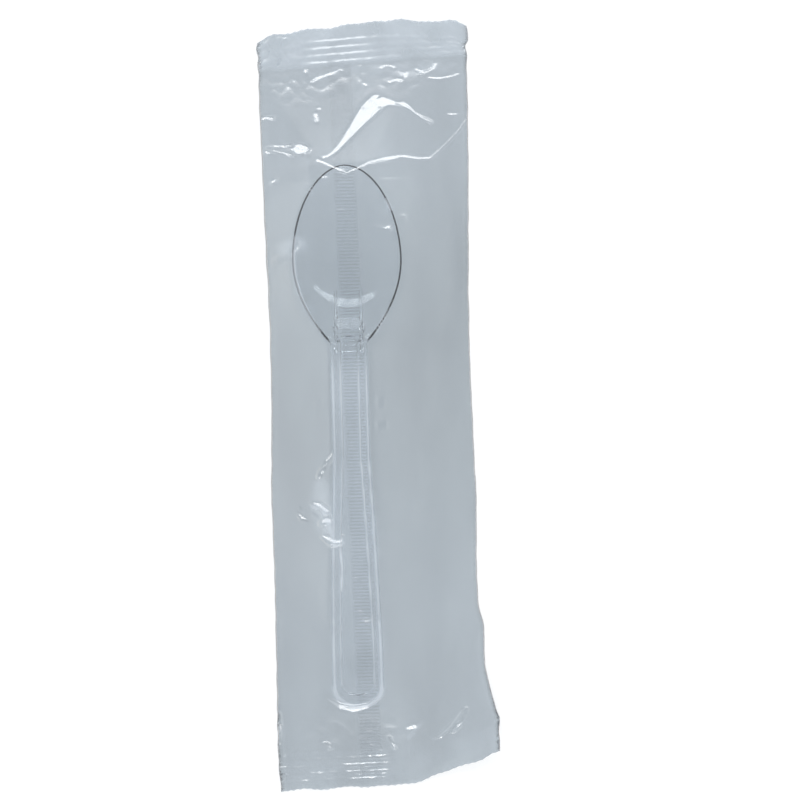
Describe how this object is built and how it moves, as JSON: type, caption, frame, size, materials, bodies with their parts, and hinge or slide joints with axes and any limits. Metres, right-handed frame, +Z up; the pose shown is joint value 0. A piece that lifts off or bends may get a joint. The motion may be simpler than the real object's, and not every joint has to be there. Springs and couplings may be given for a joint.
{
  "type": "plastic cutlery pack",
  "caption": "Clear moulded spoon sealed in a flat sleeve of clear film, with crimped ends and a back fin.",
  "frame": {"origin": "middle of the pack's footprint, on the surface that it lies on", "axes": "+Z up out of the front film, +Y along the pack towards the spoon's tip, +X across it to the right"},
  "size_m": [0.0662, 0.23, 0.0144],
  "materials": {
    "clear_film": "thin clear film, glossy, lightly creased",
    "clear_styrene": "clear moulded plastic, polished"
  },
  "bodies": {
    "root": {"film_wrapper": "clear_film", "spoon": "clear_styrene"}
  },
  "joints": []
}
